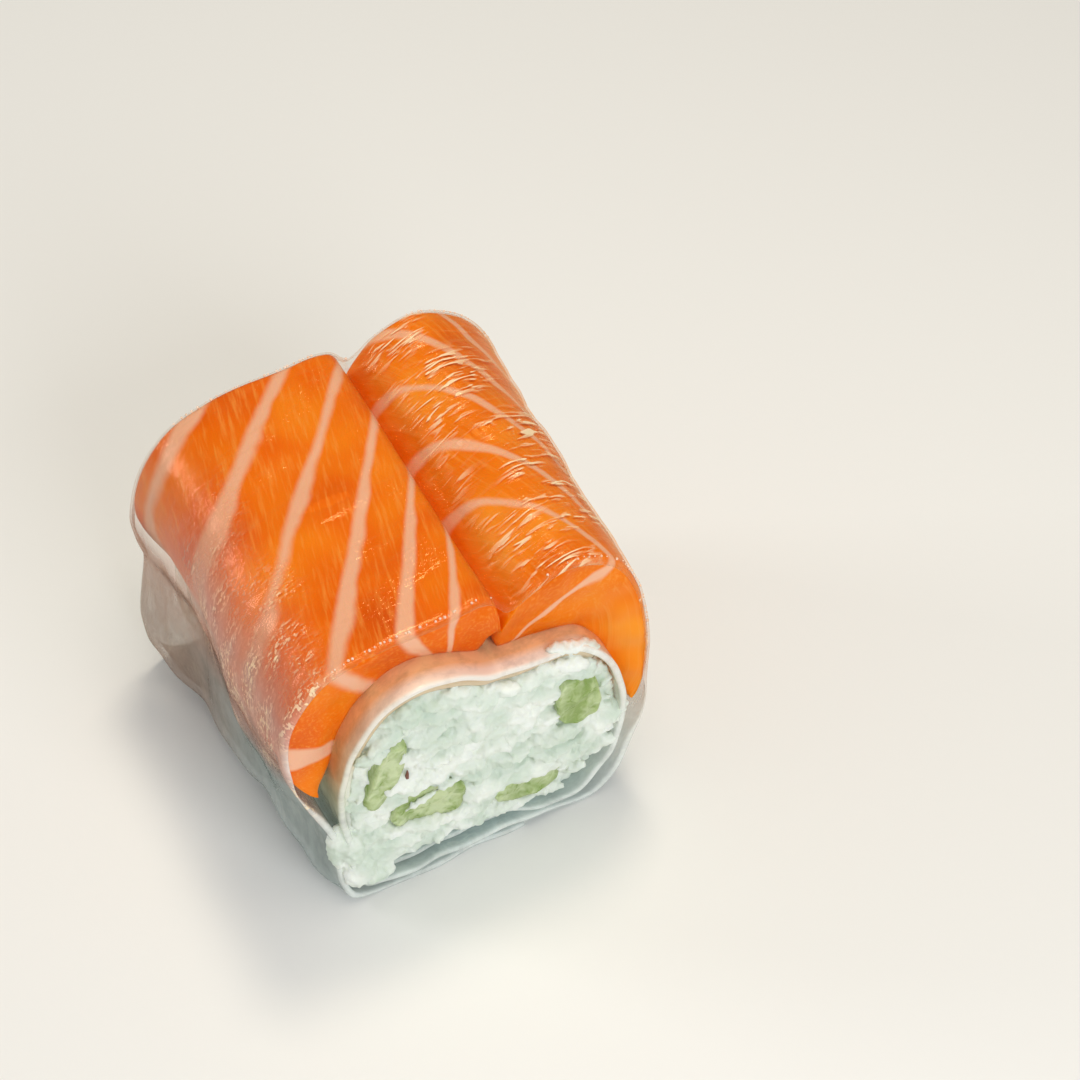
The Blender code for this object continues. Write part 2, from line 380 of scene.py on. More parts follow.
def add_node(
    tree: bpy.types.NodeTree,
    kind: str,
    gives: str | int = 0,
    inputs: dict[str | int, object] | None = None,
    stops: Stops = (),
    **settings: object,
) -> bpy.types.NodeSocket | None:
    """Adds a node with its settings and links.

    Args:
        tree: the material's nodes.
        kind: the node's type name, after ShaderNode.
        gives: which of its outputs is wanted.
        inputs: for each input, a value or the socket that is linked to it.
        stops: places and hex colours of a colour ramp.
        settings: the node's own properties.

    Returns:
        The wanted output, or None where the node has no outputs.
    """
    made = tree.nodes.new(f"ShaderNode{kind}")
    for name, value in settings.items():
        setattr(made, name, value)
    for key, value in (inputs or {}).items():
        if isinstance(value, bpy.types.NodeSocket):
            tree.links.new(value, made.inputs[key])
        else:
            made.inputs[key].default_value = value
    for i, (at, colour) in enumerate(stops):
        element = made.color_ramp.elements[i] if i < 2 else made.color_ramp.elements.new(at)
        element.position = at
        element.color = linear(colour)
    return made.outputs[gives] if made.outputs else None


def blank(name: str) -> tuple[bpy.types.Material, bpy.types.NodeTree]:
    """A new material and its emptied node tree."""
    material = bpy.data.materials.new(name)
    material.use_nodes = True
    material.node_tree.nodes.clear()
    return material, material.node_tree


@dataclass(frozen=True)
class SalmonFlesh:
    """Raw salmon, sliced across the grain: orange flakes between pale lines of fat.

    The flakes are a little see-through and wet, and fine fibres run along them.
    """

    band: float = 0.185  # half a fat line's width, as a share of the distance between two
    deep: str = "#d95300"
    flesh: str = "#ed6a00"
    bright: str = "#f68410"
    fat: str = "#f0b694"
    hair: str = "#f8a348"
    wander_mm: float = 5.263  # length of the wiggles of a fat line
    wander: float = 0.16  # and their height, in distances between lines
    patch_mm: float = 10.526
    fibre_mm: float = 0.45  # distance between fibres
    roughness: float = 0.32  # wet flesh: the lamps leave soft glints
    ior: float = 1.4

    def material(self, name: str) -> bpy.types.Material:
        """Makes the material; it reads the attribute `marble` that the slice stores.

        Args:
            name: what it is called.

        Returns:
            The material.
        """
        material, tree = blank(name)
        place = add_node(tree, "TexCoord", "Object")
        marble = add_node(tree, "Attribute", "Vector", attribute_name="marble")
        lines = add_node(tree, "SeparateXYZ", "X", {0: marble})
        wiggle = {"Vector": place, "Scale": per_metre(self.wander_mm), "Detail": 3.0}
        wiggle = add_node(tree, "TexNoise", "Fac", wiggle)
        line = {0: wiggle, 1: self.wander, 2: lines}
        line = add_node(tree, "Math", 0, line, operation="MULTIPLY_ADD")
        # PINGPONG runs 0, 1, 0 over two lines, so a line lies at 0 and at 1
        line = add_node(tree, "Math", 0, {0: line, 1: 1.0}, operation="PINGPONG")
        line = add_node(tree, "Math", 0, {0: line, 1: 0.5}, operation="SUBTRACT")
        line = add_node(tree, "Math", 0, {0: line}, operation="ABSOLUTE")
        patches = {"Vector": place, "Scale": per_metre(self.patch_mm), "Detail": 2.0}
        patches = add_node(tree, "TexNoise", "Fac", patches)
        wide, narrow = 0.5 - self.band * 1.35, 0.5 - self.band * 0.65
        edge = add_node(tree, "MapRange", 0, {"Value": patches, 1: 0.3, 2: 0.7, 3: wide, 4: narrow})
        core = add_node(tree, "Math", 0, {0: edge, 1: self.band * 0.7}, operation="ADD")
        fatty = {"Value": line, 1: edge, 2: core, 3: 0.0, 4: 1.0}
        fatty = add_node(tree, "MapRange", 0, fatty, interpolation_type="SMOOTHSTEP")
        tones = ((0.3, self.deep), (0.7, self.bright), (0.5, self.flesh))
        tone = add_node(tree, "ValToRGB", 0, {"Fac": patches}, tones)
        # the grain is drawn out along the flakes
        grain = {"Vector": marble, "Scale": (0.25, 1.0 / self.fibre_mm, 1.0)}
        grain = add_node(tree, "Mapping", 0, grain)
        fibres = {"Vector": grain, "Scale": 1.0, "Detail": 4.0, "Roughness": 0.6}
        fibres = add_node(tree, "TexNoise", "Fac", fibres)
        hair = add_node(tree, "MapRange", 0, {"Value": fibres, 1: 0.5, 2: 0.72, 3: 0.0, 4: 0.55})
        streaked = {0: hair, 6: tone, 7: linear(self.hair)}
        streaked = add_node(tree, "Mix", 2, streaked, data_type="RGBA")
        colour = {0: fatty, 6: streaked, 7: linear(self.fat)}
        colour = add_node(tree, "Mix", 2, colour, data_type="RGBA")
        rough = {"Value": fibres, 3: self.roughness - 0.08, 4: self.roughness + 0.12}
        relief = {"Height": fibres, "Strength": 0.25, "Distance": 0.2 * MM}
        flesh = {
            "Base Color": colour,
            "Roughness": add_node(tree, "MapRange", 0, rough),
            "Normal": add_node(tree, "Bump", 0, relief),
            "IOR": self.ior,
            "Specular IOR Level": 0.25,
            "Specular Tint": linear("#ffb070"),
            "Subsurface Weight": 0.15,
            "Subsurface Radius": (1.0, 0.35, 0.1),
            "Subsurface Scale": 1.0 * MM,
        }
        add_node(tree, "OutputMaterial", 0, {0: add_node(tree, "BsdfPrincipled", 0, flesh)})
        return material


@dataclass(frozen=True)
class WetRicePaper:
    """Soaked rice paper: a clear starch film, milky where it is thick or stands free.

    It clings in fine glossy folds; their crests are painted as pale streaks, a painted highlight that
    is partly the milk of creased paper.
    """

    fold_mm: float = 0.72  # distance between the folds that run round the roll
    crinkle_mm: float = 0.38  # and between the fine ones that run every way
    fibre_mm: float = 0.4  # and between the fibres of the fish that show through
    cluster_mm: float = 4.545
    cloud_mm: float = 2.857
    depth: float = 0.6  # of the relief, which breaks the shine into short sparks
    roughness: float = 0.12  # a wet film: sharp glints
    ior: float = 1.38  # soaked starch, so that it shines most at its edges
    # painted highlight: the crests of the folds are painted milky and pale gold, partly the milk of
    # creased paper
    crest_glint_milk: float = 0.88  # how milky the crests of the folds are
    crest_glint_colour: str = "#ffecc0"

    def material(self, name: str) -> bpy.types.Material:
        """Makes the material; it reads `milk`, `tone`, `unrolled` and `crinkle` of the sheet.

        Args:
            name: what it is called.

        Returns:
            The material.
        """
        material, tree = blank(name)
        milk = add_node(tree, "Attribute", "Fac", attribute_name="milk")
        tone = add_node(tree, "Attribute", "Color", attribute_name="tone")
        crinkle = add_node(tree, "Attribute", "Vector", attribute_name="crinkle")
        flat = add_node(tree, "Attribute", "Vector", attribute_name="unrolled")
        cloud = {"Vector": flat, "Scale": 1.0 / self.cloud_mm, "Detail": 5.0, "Roughness": 0.6}
        cloud = add_node(tree, "TexNoise", "Fac", cloud)
        cloud = add_node(tree, "MapRange", 0, {"Value": cloud, 1: 0.3, 2: 0.7, 3: 0.75, 4: 1.25})
        milk = {0: milk, 1: cloud}
        milk = add_node(tree, "Math", 0, milk, operation="MULTIPLY", use_clamp=True)
        where = {"Vector": flat, "Scale": 1.0 / self.cluster_mm, "Detail": 1.0}
        where = add_node(tree, "TexNoise", "Fac", where)
        where = add_node(tree, "MapRange", 0, {"Value": where, 1: 0.4, 2: 0.6, 3: 0.12, 4: 1.0})
        height: bpy.types.NodeSocket | float = 0.0
        crest_glint: bpy.types.NodeSocket | float = 0.0
        reliefs = (
            ("X", (0.34, 1.0, 1.0), self.fold_mm, 0.9),
            ("Y", (1.0, 1.0, 1.0), self.crinkle_mm, 0.6),
            ("Z", (1.0, 0.12, 1.0), self.fibre_mm, 0.2),
        )
        for axis, scale, size, bend in reliefs:
            drawn_out = add_node(tree, "Mapping", 0, {"Vector": flat, "Scale": scale})
            folds = {"Vector": drawn_out, "Scale": 1.0 / size, "Distortion": bend}
            folds = add_node(tree, "TexNoise", "Fac", {**folds, "Detail": 1.5, "Roughness": 0.45})
            much = {0: add_node(tree, "SeparateXYZ", axis, {0: crinkle}), 1: where}
            much = add_node(tree, "Math", 0, much, operation="MULTIPLY")
            raised = {0: folds, 1: much, 2: height}
            height = add_node(tree, "Math", 0, raised, operation="MULTIPLY_ADD")
            # painted highlight: where a fold rises high its crest is painted paler and milkier, partly
            # the milk of creased paper
            if axis != "Z":
                top = {"Value": folds, 1: 0.53, 2: 0.62, 3: 0.0, 4: 1.0}
                paler = {0: add_node(tree, "MapRange", 0, top), 1: much, 2: crest_glint}
                crest_glint = add_node(tree, "Math", 0, paler, operation="MULTIPLY_ADD", use_clamp=True)
        cover = {0: crest_glint, 1: self.crest_glint_milk, 2: milk}
        cover = add_node(tree, "Math", 0, cover, operation="MULTIPLY_ADD", use_clamp=True)
        tone = {0: crest_glint, 6: tone, 7: linear(self.crest_glint_colour)}
        tone = add_node(tree, "Mix", 2, tone, data_type="RGBA")
        body = {"Base Color": tone, "Roughness": 0.45, "IOR": 1.4, "Specular IOR Level": 0.2}
        body = add_node(tree, "BsdfPrincipled", 0, body)
        glow = add_node(tree, "BsdfTranslucent", 0, {"Color": tone})
        lit = add_node(tree, "MixShader", 0, {0: 0.16, 1: body, 2: glow})
        clear = add_node(tree, "BsdfTransparent", 0, {"Color": (0.97, 0.97, 0.96, 1.0)})
        film = add_node(tree, "MixShader", 0, {0: cover, 1: clear, 2: lit})
        warm = {0: 0.85, 6: linear("#ffffff"), 7: tone}
        relief = {"Height": height, "Strength": 1.0, "Distance": self.depth * MM}
        gloss = {
            "Color": add_node(tree, "Mix", 2, warm, data_type="RGBA"),
            "Roughness": self.roughness,
            "Normal": add_node(tree, "Bump", 0, relief),
        }
        gloss = add_node(tree, "BsdfAnisotropic", 0, gloss)
        shine = add_node(tree, "Fresnel", 0, {"IOR": self.ior})
        wet = add_node(tree, "MixShader", 0, {0: shine, 1: film, 2: gloss})
        # a wall seen from within the film adds nothing to the wall in front of it
        inside = add_node(tree, "NewGeometry", "Backfacing")
        seen = add_node(tree, "MixShader", 0, {0: inside, 1: wet, 2: clear})
        add_node(tree, "OutputMaterial", 0, {0: seen})
        return material


@dataclass(frozen=True)
class CheeseCurd:
    """Fresh soft cheese, broken into moist curds: white, with cool shade in its pits."""

    white: str = "#eff3ea"
    shade: str = "#cfdccc"
    grain_mm: float = 0.7
    patch_mm: float = 4.545
    roughness: float = 0.5  # moist but broken up: a soft sheen
    ior: float = 1.38

    def material(self, name: str) -> bpy.types.Material:
        """Makes the material.

        Args:
            name: what it is called.

        Returns:
            The material.
        """
        material, tree = blank(name)
        place = add_node(tree, "TexCoord", "Object")
        grain = {"Vector": place, "Scale": per_metre(self.grain_mm), "Detail": 4.0}
        grain = add_node(tree, "TexNoise", "Fac", {**grain, "Roughness": 0.6})
        patches = {"Vector": place, "Scale": per_metre(self.patch_mm), "Detail": 2.0}
        patches = add_node(tree, "TexNoise", "Fac", patches)
        rough = {"Value": grain, 3: self.roughness - 0.2, 4: self.roughness + 0.2}
        relief = {"Height": grain, "Strength": 0.5, "Distance": 0.3 * MM}
        tones = ((0.35, self.shade), (0.62, self.white))
        curd = {
            "Base Color": add_node(tree, "ValToRGB", 0, {"Fac": patches}, tones),
            "Roughness": add_node(tree, "MapRange", 0, rough),
            "Normal": add_node(tree, "Bump", 0, relief),
            "IOR": self.ior,
            "Subsurface Weight": 0.3,
            "Subsurface Radius": (1.0, 1.0, 0.8),
            "Subsurface Scale": 1.2 * MM,
        }
        add_node(tree, "OutputMaterial", 0, {0: add_node(tree, "BsdfPrincipled", 0, curd)})
        return material


@dataclass(frozen=True)
class CucumberFlesh:
    """Peeled cucumber, cut in sticks: watery pale green, darker where it is clearer."""

    pale: str = "#c8d4a6"
    green: str = "#8da45c"
    vein_mm: float = 0.9
    patch_mm: float = 3.846
    roughness: float = 0.28  # freshly cut and wet
    ior: float = 1.36

    def material(self, name: str) -> bpy.types.Material:
        """Makes the material.

        Args:
            name: what it is called.

        Returns:
            The material.
        """
        material, tree = blank(name)
        place = add_node(tree, "TexCoord", "Object")
        veins = {"Vector": place, "Scale": per_metre(self.vein_mm), "Detail": 3.0}
        veins = add_node(tree, "TexNoise", "Fac", {**veins, "Distortion": 0.6})
        patches = {"Vector": place, "Scale": per_metre(self.patch_mm), "Detail": 2.0}
        patches = add_node(tree, "TexNoise", "Fac", patches)
        both = add_node(tree, "Mix", 0, {0: 0.45, 2: patches, 3: veins})
        rough = {"Value": veins, 3: self.roughness - 0.1, 4: self.roughness + 0.15}
        relief = {"Height": veins, "Strength": 0.3, "Distance": 0.3 * MM}
        tones = ((0.4, self.green), (0.6, self.pale))
        flesh = {
            "Base Color": add_node(tree, "ValToRGB", 0, {"Fac": both}, tones),
            "Roughness": add_node(tree, "MapRange", 0, rough),
            "Normal": add_node(tree, "Bump", 0, relief),
            "IOR": self.ior,
            "Subsurface Weight": 0.3,
            "Subsurface Radius": (0.7, 1.0, 0.3),
            "Subsurface Scale": 1.5 * MM,
        }
        add_node(tree, "OutputMaterial", 0, {0: add_node(tree, "BsdfPrincipled", 0, flesh)})
        return material


@dataclass(frozen=True)
class WaterBead:
    """Water: very smooth, so that each bead shows a spark of the lamps; its pale cream body, half
    opaque, is also a painted highlight.
    """

    # painted highlight: pale cream bodies that show each bead as a light dot
    deep: str = "#ffd7ae"
    bright: str = "#fff4e6"
    mottle_mm: float = 0.25
    roughness: float = 0.08
    ior: float = 1.33

    def material(self, name: str) -> bpy.types.Material:
        """Makes the material.

        Args:
            name: what it is called.

        Returns:
            The material.
        """
        material, tree = blank(name)
        mottle = {"Vector": add_node(tree, "TexCoord", "Object"), "Scale": per_metre(self.mottle_mm)}
        mottle = add_node(tree, "TexNoise", "Fac", mottle)
        relief = {"Height": mottle, "Strength": 0.1, "Distance": 0.03 * MM}
        rough = {"Value": mottle, 3: self.roughness, 4: self.roughness + 0.08}
        tones = ((0.3, self.deep), (0.7, self.bright))
        water = {
            "Base Color": add_node(tree, "ValToRGB", 0, {"Fac": mottle}, tones),
            "Roughness": add_node(tree, "MapRange", 0, rough),
            "Normal": add_node(tree, "Bump", 0, relief),
            "IOR": self.ior,
        }
        water = add_node(tree, "BsdfPrincipled", 0, water)
        clear = add_node(tree, "BsdfTransparent")
        seen = add_node(tree, "MixShader", 0, {0: 0.5, 1: clear, 2: water})
        add_node(tree, "OutputMaterial", 0, {0: seen})
        return material


@dataclass(frozen=True)
class Matt:
    """A matt surface, the painted floor and the dark fleck: one tone with a faint unevenness."""

    colour: str
    roughness: float = 0.7
    mottle_mm: float = 1.111

    def material(self, name: str) -> bpy.types.Material:
        """Makes the material.

        Args:
            name: what it is called.

        Returns:
            The material.
        """
        material, tree = blank(name)
        mottle = {"Vector": add_node(tree, "TexCoord", "Object"), "Scale": per_metre(self.mottle_mm)}
        mottle = add_node(tree, "TexNoise", "Fac", mottle)
        tone = {"Color": linear(self.colour), "Value": 1.0, "Fac": mottle}
        rough = {"Value": mottle, 3: self.roughness - 0.06, 4: self.roughness + 0.06}
        relief = {"Height": mottle, "Strength": 0.1, "Distance": 0.1 * MM}
        matt = {
            "Base Color": add_node(tree, "HueSaturation", 0, tone),
            "Roughness": add_node(tree, "MapRange", 0, rough),
            "Normal": add_node(tree, "Bump", 0, relief),
        }
        add_node(tree, "OutputMaterial", 0, {0: add_node(tree, "BsdfPrincipled", 0, matt)})
        return material


# ---------------------------------------------------------------- the rice paper


@dataclass(frozen=True)
class Dent:
    """A soft spot where the loose paper is pushed out or in."""

    angle: float  # radians
    y: float
    spread: float  # radians
    length: float
    height: float

    def at(self, wound: Array, y: Array) -> Array:
        """How far the paper moves at these places."""
        across = (wound - self.angle) / self.spread
        return self.height * np.exp(-(across**2 + ((y - self.y) / self.length) ** 2))


@dataclass
class RicePaperSheet:
    """The sheet, wound from under the roll over the salmon and then round the filling.

    `wound` is the angle in radians that the sheet has turned since straight down, so it
    passes a full turn for each layer inwards.
    """

    shape: RollShape
    outer_end: float = math.radians(-19.5)
    step_in: tuple[float, float] = (math.radians(321.0), math.radians(337.0))
    inner_end: float = math.radians(960.0)
    last_turn: tuple[float, float] = (690.0, 705.0)  # degrees; where the last turn begins
    stretched: float = 0.24  # thickness where the sheet is drawn tight over the salmon
    slack: float = 0.75  # and elsewhere
    loose: float = 0.05  # air between the inner turns
    angle_step: float = math.radians(1.7)
    row_step: float = 0.9
    rim_rows: Row = (0.0, 0.02, 0.08, 0.2, 0.38, 0.6, 1.0)  # distances from a rim
    rim_round: float = 0.22
    mean_radius: float = 17.0  # turns angles to lengths on the unrolled sheet
    fold_slant: float = 0.26  # how far the folds run to the back as they go round
    dents: tuple[Dent, ...] = (
        Dent(math.radians(72.0), 14.5, 0.2, 4.5, 1.2),
        Dent(math.radians(97.0), 13.0, 0.14, 6.0, -0.7),
    )
    milk_outer: Stops = (
        (-20.0, 0.5),
        (84.0, 0.5),
        (94.0, 0.42),
        # the left shoulder, 106 to 128 degrees, is milkier: partly the film's haze, partly painted
        # sheen
        (106.0, 0.52),
        (118.0, 0.56),
        (128.0, 0.47),
        (138.0, 0.2),
        (147.0, 0.02),
        (190.0, 0.015),
        (240.0, 0.03),
        (256.0, 0.14),
        (270.0, 0.3),
        (284.0, 0.42),
        (300.0, 0.5),
        (340.0, 0.5),
    )
    milk_inner: Stops = (
        (0.0, 0.45),
        (80.0, 0.45),
        (110.0, 0.7),
        (150.0, 0.9),
        (190.0, 0.94),
        (240.0, 0.85),
        (275.0, 0.66),
        (360.0, 0.5),
    )
    tone_outer: Stops = (
        (-20.0, "#cfdedc"),
        (78.0, "#c9d4d0"),
        (92.0, "#d8b0a2"),
        # pale pink on the left shoulder: partly the film's haze over the salmon, partly painted sheen
        (108.0, "#dda792"),
        (124.0, "#e2b4a4"),
        (138.0, "#f2a070"),
        (147.0, "#ffae5c"),
        (240.0, "#ffae5c"),
        (262.0, "#eea264"),
        (282.0, "#d6ac84"),
        (298.0, "#cfdad6"),
        (340.0, "#cfdedc"),
    )
    tone_inner: Stops = (
        (0.0, "#c4dad8"),
        (75.0, "#d3ddd0"),
        (95.0, "#d8deb8"),
        (118.0, "#e8dcb4"),
        (150.0, "#feecd6"),
        (190.0, "#ffecdc"),
        (225.0, "#fdf4e8"),
        (262.0, "#dfe2d2"),
        (290.0, "#d3ddd6"),
        (360.0, "#c4dad8"),
    )
    # painted shade: a dark brown for the loose paper at the back, tinted by the salmon's colour shining
    # through
    through: str = "#9a6a4a"  # loose paper with the salmon's colour shining through
    # painted light: the salmon's orange light seen through the paper beside its cut face
    salmon_glow_beside: str = "#ffc47c"
    # partly the dense paper seen edge-on at a rim, partly a painted highlight along it
    rim_white_and_highlight: str = "#f3f6f0"
    # painted shade under the rim, with the salmon's light through the paper
    shaded_inner_tan: str = "#d8c29c"

    def thickness(self, wound: Array) -> Array:
        """The sheet's thickness after winding this far from straight down."""
        tight = bump_between(math.radians(100.0), math.radians(284.0), 0.25, wound)
        return self.slack + (self.stretched - self.slack) * tight

    def waviness(self, wound: Array, y: Array) -> Array:
        """Makes the soft folds of the outer turn, deepest low on the left side.

        Args:
            wound: how far the sheet has turned.
            y: places along the roll.

        Returns:
            How far the paper stands out at each place.
        """
        side = bump_between(math.radians(35.0), math.radians(98.0), 0.45, wound)
        right = bump_between(math.radians(283.0), math.radians(325.0), 0.3, wound)
        lobe = bump_between(math.radians(200.0), math.radians(262.0), 0.2, wound)
        free = bump_between(math.radians(30.0), math.radians(315.0), 0.25, wound)
        u = wound * 18.0
        deep = ripple(u * 0.6, y, 11.0, 3) * (0.55 * side + 0.3 * right)
        fine = ripple(u * 0.35, y, 3.4, 8) * (0.05 * lobe + 0.04 * side)
        even = ripple(u, y, 13.0, 5) * 0.12
        return (deep + fine + even) * free + sum(dent.at(wound, y) for dent in self.dents)

    def rim(self, wound: Array) -> Array:
        """Finds how far the rim stands out past the salmon.

        Args:
            wound: how far the sheet has turned.

        Returns:
            The distance at each place.
        """
        under, over = 0.5 + 0.5 * np.cos(wound), 0.5 - 0.5 * np.cos(wound)
        lip = np.exp(-(((wound - math.radians(38.0)) / 0.3) ** 2))
        outer = 0.12 + 0.4 * under + 0.6 * lip + 0.25 * ripple(wound * 18.0, 0.0, 9.0, 21) * under
        inner = 0.8 + 1.25 * over + 0.15 * np.sin(3.0 * wound)
        inner += 0.12 * ripple(wound * 14.0, 0.0, 6.0, 22)
        inner -= smooth(*self.last_turn, np.degrees(wound)) * (0.25 + 1.0 * (1.0 - over))
        share = smooth(*self.step_in, wound)
        return outer * (1.0 - share) + inner * share

    def drop(self, distance: float, degrees: Array) -> Array:
        """How far the film bends down over the salmon's rounded edge, this far from its rim."""
        bend = 0.42 * np.clip((0.72 - distance) / 0.6, 0.0, 1.2) ** 3
        return bend * bump_between(112.0, 268.0, 12.0, degrees)

    def radius(self, back: float, wound: Array) -> Array:
        """Finds the sheet's middle as it winds inwards.

        Args:
            back: place along the roll, from 0 at the front to 1.
            wound: how far the sheet has turned.

        Returns:
            Distances from the heart line.
        """
        shape, skin, core = self.shape, SKIN.at(back), CORE.at(back)
        radii = np.stack(
            [
                shape.radius(skin, wound) - self.thickness(wound) / 2.0,
                shape.radius(moved_in(core, self.slack / 2.0), wound),
                shape.radius(moved_in(core, self.slack * 1.5 + self.loose), wound),
            ]
        )
        turn = np.floor((wound - self.step_in[0]) / TURN).astype(int) + 1
        at = np.arange(len(wound))
        outer = radii[np.clip(turn - 1, 0, 2), at]
        inner = radii[np.clip(turn, 0, 2), at]
        since = wound - TURN * (turn - 1)
        share = np.where(turn > 0, smooth(*self.step_in, since), 0.0)
        return outer * (1.0 - share) + inner * share

    def surface(self, wound: Array) -> tuple[Array, Array]:
        """Lays the points of the sheet's closed surface.

        Args:
            wound: how far the sheet has turned at each loop of points.

        Returns:
            The points in metres, loop by loop, and for each its length round the sheet,
            its place along the roll and its distance from the nearer rim.
        """
        half_roll = self.shape.half
        reach, thick = half_roll + self.rim(wound), self.thickness(wound)
        inside = np.arange(1.0 + self.row_step, half_roll, self.row_step)
        from_rim = np.concatenate([self.rim_rows, inside])
        rows = []
        for end, distances in ((-1.0, from_rim), (1.0, from_rim[::-1])):
            for distance in distances:
                y = end * (reach - distance * reach / (half_roll + 1.0))
                part = np.clip(distance / self.rim_round, 0.0, 1.0)
                half = thick / 2.0 * math.sqrt(1.0 - (1.0 - part) ** 2)
                back = self.shape.share_back(end * (half_roll - distance))
                middle = self.radius(back, wound) + self.waviness(wound, y)
                rows.append((y, half, middle - self.drop(distance, np.degrees(wound)), distance))
        points, flat = [], []
        for side, ordered in ((1.0, rows), (-1.0, rows[::-1])):
            for y, half, middle, distance in ordered:
                if side < 0.0 and distance == 0.0:
                    continue
                x, z = self.shape.ray(wound, middle + side * half)
                points.append(self.shape.place(x, y, np.maximum(z, 0.0)))
                flat.append([wound * self.mean_radius, y, np.full_like(y, distance)])
        return np.stack(points, axis=1), np.moveaxis(np.array(flat), 2, 0)

    def milk_and_tone(self, degrees: Array, flat: Array) -> tuple[Array, Array]:
        """Works out how milky the sheet is and its colour.

        Args:
            degrees: how far the sheet has turned, one row for each loop.
            flat: places on the flat sheet, as surface() gives them.

        Returns:
            The opacity and the linear colour of each point.
        """
        y, from_rim, ring = flat[..., 1], flat[..., 2], degrees % 360.0
        outer = 1.0 - smooth(*np.degrees(self.step_in), degrees)
        # the shoulder's milk, with its painted sheen, is cleared towards the back
        clear_back = 0.88 * bump_between(112.0, 146.0, 6.0, degrees) * smooth(-2.0, 14.0, y)
        milk = by_angle(self.milk_outer, degrees) * outer * (1.0 - clear_back)
        milk = milk + by_angle(self.milk_inner, ring) * (1.0 - outer)
        at_rim = np.exp(-from_rim / 0.3)
        over_salmon = bump_between(125.0, 262.0, 10.0, degrees) * outer
        milk = np.clip(milk + at_rim * 0.35 * (1.0 - 0.75 * over_salmon), 0.0, 1.0)
        # painted shade: the loose paper behind the salmon is painted darker brown, tinted by the
        # salmon's colour shining through
        warm = smooth(-8.0, 12.0, y) * bump_between(50.0, 106.0, 10.0, degrees) * outer * 0.75
        milk = milk + (0.78 - milk) * warm
        # painted light: beside the salmon's cut face the wet paper is painted with the salmon's orange,
        # its light seen through the paper
        beside = smooth(0.9, 1.9, from_rim) * bump_between(112.0, 262.0, 12.0, ring)
        beside = 0.78 * beside * (1.0 - outer)
        # painted shade: the last turn under the top is painted tan, for the shade under the rim and the
        # salmon's light through the paper
        tan = bump_between(125.0, 235.0, 20.0, ring) * smooth(*self.last_turn, degrees)
        # the rims are painted white: partly the dense paper seen edge-on, partly a painted highlight
        # along them
        white = 0.75 * at_rim * (1.0 - 0.8 * over_salmon) * (1.0 - 0.7 * tan)
        tone = by_angle(self.tone_outer, degrees) * outer[..., None]
        tone = tone + by_angle(self.tone_inner, ring) * (1.0 - outer[..., None])
        tone = blend(tone, self.through, warm[..., None])
        tone = blend(tone, self.salmon_glow_beside, beside[..., None])
        tone = blend(tone, self.rim_white_and_highlight, white[..., None])
        return milk, blend(tone, self.shaded_inner_tan, 0.8 * tan[..., None])

    def creasing(self, degrees: Array, flat: Array) -> Array:
        """Works out how strongly the film is creased.

        Args:
            degrees: how far the sheet has turned, one row for each loop.
            flat: places on the flat sheet, as surface() gives them.

        Returns:
            The strength of the folds, the crinkles and the fibres at each point.
        """
        outer = 1.0 - smooth(*np.degrees(self.step_in), degrees)
        lobe = bump_between(200.0, 258.0, 8.0, degrees) * outer
        corner = bump_between(94.0, 140.0, 10.0, degrees) * outer
        corner = corner * smooth(16.0, -12.0, flat[..., 1])
        # the folds and crinkles also set how strongly their crests are painted as highlights, most on
        # the lobe and the left shoulder
        folds = 0.05 + 0.95 * lobe + 0.25 * corner
        crinkles = 0.02 + 0.15 * lobe + 0.62 * corner
        fibres = 0.2 * bump_between(135.0, 192.0, 8.0, degrees) * outer
        return np.stack(np.broadcast_arrays(folds, crinkles, fibres), axis=-1)

    def build(self) -> bpy.types.Object:
        """Makes the sheet as one closed solid with rounded rims.

        Returns:
            The sheet, with what its material reads stored on its points.
        """
        count = int(round((self.inner_end - self.outer_end) / self.angle_step))
        wound = np.linspace(self.outer_end, self.inner_end, count + 1)
        points, flat = self.surface(wound)
        sheet = tube("rice_paper_sheet", points)
        degrees = np.degrees(wound)[:, None]
        milk, tone = self.milk_and_tone(degrees, flat)
        slanted = flat - self.fold_slant * flat[..., :1] * np.array([0.0, 1.0, 0.0])
        keep(sheet, "milk", milk)
        keep(sheet, "tone", tone, 4)
        keep(sheet, "crinkle", self.creasing(degrees, flat), 3)
        keep(sheet, "unrolled", slanted, 3)
        sheet.data.materials.append(WetRicePaper().material("wet_rice_paper"))
        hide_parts("rice_paper")
        return sheet


# ---------------------------------------------------------------- the salmon


class Side(Enum):
    """Which of the two slices it is."""

    LEFT = "left"
    RIGHT = "right"


